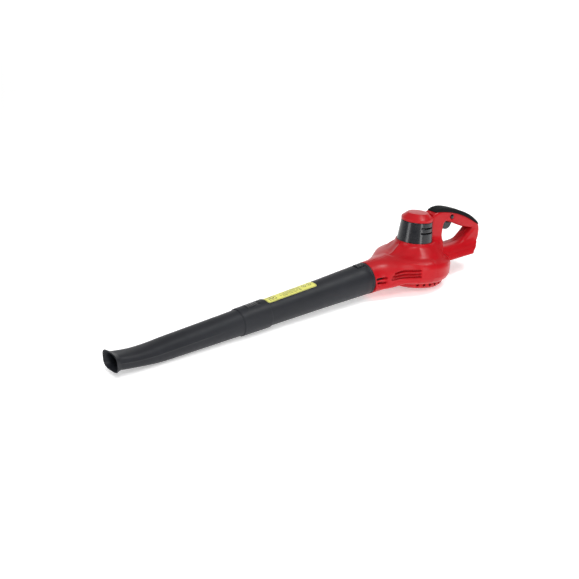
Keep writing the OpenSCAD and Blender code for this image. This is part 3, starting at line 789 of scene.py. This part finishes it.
def skin(lengths, inset=0):
    """The sections at these lengths."""
    return [nozzle_ring(s, inset, s) for s in lengths]


def bore(r, s):
    """A round section of the collar's bore."""
    a = np.linspace(0, 2 * math.pi, SECTION_POINTS, endpoint=False)
    return np.stack([r * np.cos(a), r * np.sin(a), np.full(SECTION_POINTS, NOZZLE_S + s)], 1)


stations = [TAPER_S + 6 * k for k in range(40)] + [NOZZLE_L - FLANGE_L + FLANGE_L * k / 10 for k in range(11)]
stations = sorted(s for s in stations if s <= NOZZLE_L)
outer = [nozzle_ring(0, 1.0, 0.0), nozzle_ring(0.4, 0.3, 0.3), nozzle_ring(1.2, 0, 1.2)]
outer += skin([3, 14, 26, 40, 50])
outer += skin([COLLAR_L + d for d in (-6, -1.4, -0.6, -0.1, 0.1, 0.4, 0.8, 1.2, 1.6, 2.4, 6)])
outer += skin(stations)
outer += [nozzle_ring(NOZZLE_L, 0.5, NOZZLE_L + 0.55), nozzle_ring(NOZZLE_L, 1.3, NOZZLE_L + 0.7)]
inner = [nozzle_ring(NOZZLE_L, NOZZLE_WALL, NOZZLE_L + 0.3)]
inner += skin(stations[::-1], NOZZLE_WALL)
# the collar's bore fits the tube's spigot
inner += [bore(SPIGOT_R - 1.4, SPIGOT_L + 3), bore(SPIGOT_R + 0.3, SPIGOT_L + 1)]
inner += [bore(SPIGOT_R + 0.3, 0.6), bore(SPIGOT_R + 0.8, 0)]
nozzle = loft("blow_nozzle", outer + inner, place_tube, True, 34)
cut_with(nozzle, latch_gap("gap_c", 20, 32, NOZZLE_LATCH_S, NOZZLE_LATCH_L))
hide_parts("nozzle")
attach(nozzle, "nozzle")
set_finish(nozzle, "tube_plastic")

# ---------------------------------------------------------------- controls
TRIGGER_PIN = (70, 122)  # x and z
TRIGGER_COIL_X = 88
paddle = Outline(rounded(
    [(67, 125.4), (66.8, 112), (70.6, 107), (78, 105), (84, 105.2), (90.4, 108.4), (94, 116), (95, 120.4),
    (78, 120.6), (75, 125.4)],
    [1, 2, 3, 5, 5, 5, 3, 1, 1, 1]))


def trigger_field(x, y, z):
    """The trigger, with the pin's hole and a pocket for its spring."""
    d = slab(paddle(x, z), np.abs(y) - 6.5, 1.8)
    pin = np.hypot(x - TRIGGER_PIN[0], z - TRIGGER_PIN[1]) - 1.55
    d = smax(d, -np.maximum(pin, np.abs(y) - 30), 0.2)
    return smax(d, -np.maximum(np.hypot(x - TRIGGER_COIL_X, y) - 3.6, 117.4 - z), 0.3)


trigger = surface("squeeze_trigger", trigger_field, (65, -8, 103), (97, 8, 127), 0.55)
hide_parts("trigger")
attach(trigger, "trigger")


def place_button(p):
    """The button's axis runs along y."""
    return to_row(np.stack([BUTTON[0] + p[:, 0], p[:, 2], BUTTON[1] + p[:, 1]], 1))


button_profile = rounded(
    [(0, -17.4), (2.4, -17.2), (4, -16.4), (4, -12.6), (5.4, -12.6), (5.4, -11), (4, -11), (4, -9.2),
    (0, -9.2)],
    [0, 1, 0.8, 0.1, 0.3, 0.3, 0.1, 0.3, 0])
button = turned("lock_knob", button_profile, place_button, 48)
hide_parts("lock_button")
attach(button, "lock_button")
for o in (trigger, button):
    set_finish(o, "black_plastic")


def coil(name, radius, length, turns, place, wire=0.5, steps=18, sides=10):
    """A compression spring that runs from 0 to length along z."""
    b = 2 * math.pi * np.arange(sides) / sides
    rings = []
    for i in range(turns * steps + 1):
        a = 2 * math.pi * i / steps
        r = radius + wire * np.cos(b)
        z = wire + (length - 2 * wire) * i / (turns * steps) + wire * np.sin(b)
        rings.append(np.stack([r * math.cos(a), r * math.sin(a), z], 1))
    return loft(name, rings, place, False, 60)


def place_lock_coil(p):
    return to_row(np.stack([BUTTON[0] + p[:, 0], p[:, 2] - 9.1, BUTTON[1] - p[:, 1]], 1))


def place_trigger_coil(p):
    return to_row(p + np.array([TRIGGER_COIL_X, 0, 117.5]))


lock_coil = coil("lock_return_coil", 2.6, 7.2, 4, place_lock_coil)
trigger_coil = coil("trigger_return_coil", 2.4, 11.6, 6, place_trigger_coil)
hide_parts("lock_spring")
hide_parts("trigger_spring")
for o in (lock_coil, trigger_coil):
    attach(o, "housing")
    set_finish(o, "bright_steel")
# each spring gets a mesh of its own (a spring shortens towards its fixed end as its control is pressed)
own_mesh(lock_coil)
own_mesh(trigger_coil)


# ---------------------------------------------------------------- materials
def material(name, color, rough, build=None, **sockets):
    """build(nt, bsdf, color, rough) adds the detail; the other arguments are the shader's own sockets."""
    mat = bpy.data.materials.new(name)
    mat.use_nodes = True
    nt = mat.node_tree
    bsdf = nt.nodes["Principled BSDF"]
    bsdf.inputs["Base Color"].default_value = (*color, 1)
    bsdf.inputs["Roughness"].default_value = rough
    for k, v in sockets.items():
        bsdf.inputs[k.replace("_", " ")].default_value = v
    if build:
        build(nt, bsdf, color, rough)
    return mat


def coords(nt):
    return nt.nodes.new("ShaderNodeTexCoord").outputs["Object"]


def noise(nt, scale, detail=2.0, rough=0.5):
    n = nt.nodes.new("ShaderNodeTexNoise")
    n.inputs["Scale"].default_value = scale
    n.inputs["Detail"].default_value = detail
    n.inputs["Roughness"].default_value = rough
    nt.links.new(coords(nt), n.inputs["Vector"])
    return n.outputs["Fac"]


def spread(nt, value, low, high, a=0.3, b=0.7):
    """A value between a and b, spread over low to high."""
    n = nt.nodes.new("ShaderNodeMapRange")
    for k, v in zip(("From Min", "From Max", "To Min", "To Max"), (a, b, low, high)):
        n.inputs[k].default_value = v
    nt.links.new(value, n.inputs["Value"])
    return n.outputs["Result"]


def mix(nt, fac, a, b):
    n = nt.nodes.new("ShaderNodeMix")
    n.data_type = "RGBA"
    n.inputs["A"].default_value = (*a, 1)
    n.inputs["B"].default_value = (*b, 1)
    nt.links.new(fac, n.inputs["Factor"])
    return n.outputs["Result"]


def bump(nt, bsdf, height, distance):
    n = nt.nodes.new("ShaderNodeBump")
    n.inputs["Distance"].default_value = distance
    n.inputs["Strength"].default_value = 1
    nt.links.new(height, n.inputs["Height"])
    nt.links.new(n.outputs["Normal"], bsdf.inputs["Normal"])


def moulded(grain, depth, vary):
    """Moulded plastic: fine spark-eroded grain, faint flow marks in colour and gloss."""
    def build(nt, bsdf, color, rough):
        flow = noise(nt, 14, 3, 0.55)
        dark = tuple(c * (1 - vary) for c in color)
        light = tuple(min(1, c * (1 + vary) + 0.002) for c in color)
        nt.links.new(mix(nt, spread(nt, flow, 0, 1), dark, light), bsdf.inputs["Base Color"])
        fine = noise(nt, grain, 2, 0.6)
        scuff = noise(nt, 55, 5, 0.65)
        gloss = nt.nodes.new("ShaderNodeMath")
        gloss.operation = "ADD"
        nt.links.new(spread(nt, fine, -0.03, 0.03), gloss.inputs[0])
        nt.links.new(spread(nt, scuff, rough - 0.05, rough + 0.06), gloss.inputs[1])
        nt.links.new(gloss.outputs[0], bsdf.inputs["Roughness"])
        bump(nt, bsdf, fine, depth)
    return build


def metal(grain, vary):
    """Worked metal: fine marks that change its colour and gloss."""
    def build(nt, bsdf, color, rough):
        n = noise(nt, grain, 4, 0.6)
        dark = tuple(c * (1 - vary) for c in color)
        nt.links.new(mix(nt, spread(nt, n, 0, 1), dark, color), bsdf.inputs["Base Color"])
        nt.links.new(spread(nt, n, rough - 0.08, rough + 0.1), bsdf.inputs["Roughness"])
        bump(nt, bsdf, n, 0.00004)
    return build


def rubber_skin(nt, bsdf, color, rough):
    """Soft rubber: a pebbled grain, a little dusty."""
    v = nt.nodes.new("ShaderNodeTexVoronoi")
    v.inputs["Scale"].default_value = 620
    nt.links.new(coords(nt), v.inputs["Vector"])
    n = noise(nt, 40, 4, 0.6)
    dusty = tuple(c * 1.7 for c in color)
    nt.links.new(mix(nt, spread(nt, n, 0, 1), color, dusty), bsdf.inputs["Base Color"])
    nt.links.new(spread(nt, n, rough - 0.06, rough + 0.08), bsdf.inputs["Roughness"])
    bump(nt, bsdf, v.outputs["Distance"], 0.00025)


def stack(nt, bsdf, color, rough):
    """Thin sheets pressed together along the shaft."""
    w = nt.nodes.new("ShaderNodeTexWave")
    w.bands_direction = "Z"
    w.inputs["Scale"].default_value = 320
    w.inputs["Distortion"].default_value = 0.3
    nt.links.new(coords(nt), w.inputs["Vector"])
    nt.links.new(mix(nt, w.outputs["Fac"], tuple(c * 0.6 for c in color), color), bsdf.inputs["Base Color"])
    nt.links.new(spread(nt, w.outputs["Fac"], rough - 0.06, rough + 0.12, 0, 1), bsdf.inputs["Roughness"])
    bump(nt, bsdf, w.outputs["Fac"], 0.00008)


def wound(nt, bsdf, color, rough):
    """Varnished wire: fine strands with some colour change from turn to turn."""
    w = nt.nodes.new("ShaderNodeTexWave")
    w.bands_direction = "DIAGONAL"
    w.inputs["Scale"].default_value = 260
    w.inputs["Distortion"].default_value = 2.5
    nt.links.new(coords(nt), w.inputs["Vector"])
    dark = tuple(c * 0.45 for c in color)
    nt.links.new(mix(nt, w.outputs["Fac"], dark, color), bsdf.inputs["Base Color"])
    nt.links.new(spread(nt, w.outputs["Fac"], rough + 0.1, rough - 0.05, 0, 1), bsdf.inputs["Roughness"])
    bump(nt, bsdf, w.outputs["Fac"], 0.0003)


def printed(nt, bsdf, color, rough):
    """Yellow film with a dark line round it, plain bars, and plain round and square marks."""
    uv = nt.nodes.new("ShaderNodeUVMap")
    uv.uv_map = "plan"
    sep = nt.nodes.new("ShaderNodeSeparateXYZ")
    nt.links.new(uv.outputs["UV"], sep.inputs[0])

    def op(kind, a, b):
        n = nt.nodes.new("ShaderNodeMath")
        n.operation = kind
        for socket, value in zip(n.inputs, (a, b)):
            if isinstance(value, (int, float)):
                socket.default_value = value
            else:
                nt.links.new(value, socket)
        return n.outputs[0]

    # millimetres along and across the label
    u, v = op("MULTIPLY", sep.outputs["X"], LABEL_L), op("MULTIPLY", sep.outputs["Y"], LABEL_W)
    middle = LABEL_W / 2

    def block(u0, u1, v0, v1):
        a = op("MULTIPLY", op("GREATER_THAN", u, u0), op("LESS_THAN", u, u1))
        b = op("MULTIPLY", op("GREATER_THAN", v, v0), op("LESS_THAN", v, v1))
        return op("MULTIPLY", a, b)

    def dot(cu, cv, r):
        du, dv = op("SUBTRACT", u, cu), op("SUBTRACT", v, cv)
        return op("LESS_THAN", op("ADD", op("MULTIPLY", du, du), op("MULTIPLY", dv, dv)), r * r)

    frame_in = block(1.7, LABEL_L - 1.7, 1.7, LABEL_W - 1.7)
    frame_out = block(1.1, LABEL_L - 1.1, 1.1, LABEL_W - 1.1)
    ink = op("SUBTRACT", frame_out, frame_in)
    # bars, broken up so that they read as small print without being any
    breaks = op("GREATER_THAN", noise(nt, 900, 1, 0.5), 0.47)
    for row, u1 in enumerate((78, 84, 74, 80, 66)):
        v0 = 4.4 + 3.5 * row
        ink = op("MAXIMUM", ink, op("MULTIPLY", block(34, u1, v0, v0 + 1.5), breaks))
    # two round marks, and a round one in a square
    for cu in (11.0, 23.5):
        ink = op("MAXIMUM", ink, op("SUBTRACT", dot(cu, middle, 4.6), dot(cu, middle, 3.7)))
        ink = op("MAXIMUM", ink, dot(cu, middle, 1.4))
    ink = op("MAXIMUM", ink, op("SUBTRACT", block(92, 108, 4.5, 20.5), block(93, 107, 5.5, 19.5)))
    ink = op("MAXIMUM", ink, op("SUBTRACT", dot(100, middle, 4.6), dot(100, middle, 2.8)))
    base = nt.nodes.new("ShaderNodeMix")
    base.data_type = "RGBA"
    base.inputs["B"].default_value = (0.035, 0.035, 0.03, 1)
    faded = tuple(c * 0.88 for c in color)
    nt.links.new(mix(nt, spread(nt, noise(nt, 30, 3), 0, 1), color, faded), base.inputs["A"])
    nt.links.new(ink, base.inputs["Factor"])
    nt.links.new(base.outputs["Result"], bsdf.inputs["Base Color"])
    nt.links.new(spread(nt, noise(nt, 60, 4), rough - 0.06, rough + 0.08), bsdf.inputs["Roughness"])
    bump(nt, bsdf, noise(nt, 500, 2), 0.00003)


# the record's material slots, each with its finish
FINISHES = {
    "red_plastic": material(
        "red_moulded", (0.47, 0.0040, 0.0095), 0.33, moulded(1500, 0.00003, 0.07), Specular_IOR_Level=0.22),
    "black_plastic": material(
        "black_gloss", (0.009, 0.010, 0.013), 0.22, moulded(1700, 0.00002, 0.12), Specular_IOR_Level=0.5),
    "tube_plastic": material(
        "black_satin", (0.014, 0.0155, 0.020), 0.48, moulded(1300, 0.00005, 0.14), Specular_IOR_Level=0.28),
    "grip_rubber": material(
        "soft_rubber", (0.006, 0.006, 0.0065), 0.68, rubber_skin, Specular_IOR_Level=0.10),
    "label_vinyl": material("label_film", (0.88, 0.86, 0.20), 0.38, printed),
    "inner_plastic": material("filled_nylon", (0.03, 0.032, 0.035), 0.5, moulded(900, 0.00006, 0.15)),
    "bright_steel": material("zinc_plate", (0.60, 0.60, 0.62), 0.32, metal(260, 0.2), Metallic=1.0),
    "silicon_steel": material("sheet_stack", (0.30, 0.31, 0.33), 0.42, stack, Metallic=1.0),
    "ferrite": material("ferrite_grey", (0.06, 0.06, 0.065), 0.62, metal(420, 0.35)),
    "enamelled_copper": material("magnet_wire", (0.42, 0.14, 0.04), 0.30, wound, Metallic=0.7),
    "copper": material("bare_copper", (0.72, 0.36, 0.22), 0.28, metal(300, 0.25), Metallic=1.0),
    "bronze": material("sintered_bronze", (0.48, 0.31, 0.15), 0.46, metal(700, 0.3), Metallic=1.0),
    "carbon": material("pressed_carbon", (0.03, 0.03, 0.032), 0.6, metal(600, 0.4)),
    "contact_brass": material("spring_brass", (0.74, 0.56, 0.26), 0.27, metal(240, 0.2), Metallic=1.0),
    "lead_red": material("red_insulation", (0.45, 0.02, 0.02), 0.42, moulded(800, 0.00004, 0.1)),
    "lead_black": material("black_insulation", (0.015, 0.015, 0.016), 0.42, moulded(800, 0.00004, 0.1)),
}

for part in frame["record"]["subparts"]:
    obj = nodes[part["node"]]
    if obj.hide_render:
        continue
    finish = FINISHES[part["material_slot"]]
    if not obj.material_slots:
        obj.data.materials.append(finish)
    for slot in obj.material_slots:
        slot.material = finish

own_pieces = (
    left, right, cup, grip, vent_band, cap, tube, nozzle, latch_a, latch_b, label, trigger, button, lock_coil,
    trigger_coil)
for obj in own_pieces:
    obj.data.materials.clear()
    obj.data.materials.append(FINISHES[obj["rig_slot"]])

# ---------------------------------------------------------------- floor, light, camera
bm = bmesh.new()
bmesh.ops.create_grid(bm, x_segments=8, y_segments=8, size=6)
floor_mesh = bpy.data.meshes.new("floor")
bm.to_mesh(floor_mesh)
bm.free()
floor = add_object("floor", floor_mesh)
# the floor glows a little, so that it comes out as white as the photograph's background
pale = material("pale_floor", (0.92, 0.92, 0.92), 0.9, Emission_Color=(1, 1, 1, 1), Emission_Strength=0.45)
floor_mesh.materials.append(pale)

world = bpy.data.worlds.new("studio")
world.use_nodes = True
background = world.node_tree.nodes["Background"].inputs
background["Color"].default_value = (1, 1, 1, 1)
background["Strength"].default_value = 0.12
bpy.context.scene.world = world


def softbox(name, at, aim, w, h, power):
    """A rectangular area light, in metres and watts, that the camera doesn't see."""
    light = bpy.data.lights.new(name, "AREA")
    light.shape = "RECTANGLE"
    light.size, light.size_y, light.energy = w, h, power
    obj = add_object(name, light)
    obj.location = at
    obj.rotation_euler = (Vector(aim) - Vector(at)).to_track_quat("-Z", "Y").to_euler()
    obj.visible_camera = False


softbox("key_left", (-1.1, -1.3, 1.7), (0.1, 0, 0.05), 0.8, 0.7, 18)
softbox("key_low", (-1.9, 0.15, 0.45), (0.2, 0, 0.1), 0.6, 0.9, 8)
softbox("back", (3.2, 4.1, 1.4), (0, 0, 0.1), 9.0, 2.8, 85)
# narrow lights, for the highlights on the tower and on the flank
softbox("strip_near", (0.21, -0.72, 0.25), (0.25, 0, 0.1), 0.12, 0.48, 1.2)
softbox("key_top", (0.80, -0.52, 1.50), (0.25, 0, 0.08), 0.3, 0.3, 9)
sky = bpy.data.lights.new("sky", "SUN")
sky.energy, sky.angle = 0.8, 1.7
add_object("sky", sky)

# the camera, estimated from the photograph: where it stands, the way from the tool to it, and its right
CAMERA_AT = (-1.4186, -1.7579, 0.9514)
back_axis = Vector((-0.5703, -0.7332, 0.3705)).normalized()
right_axis = Vector((0.7880, -0.6157, -0.0055))
right_axis = (right_axis - back_axis * right_axis.dot(back_axis)).normalized()
up_axis = back_axis.cross(right_axis)
facing = Matrix((right_axis, up_axis, back_axis)).transposed().to_4x4()

bpy.context.scene.view_settings.view_transform = "Standard"
camera_data = bpy.data.cameras.new("camera")
camera_data.sensor_width = 36
camera_data.lens = 79.24
camera_data.clip_end = 50
camera = add_object("camera", camera_data)
camera.matrix_world = Matrix.Translation(CAMERA_AT) @ facing
bpy.context.scene.camera = camera
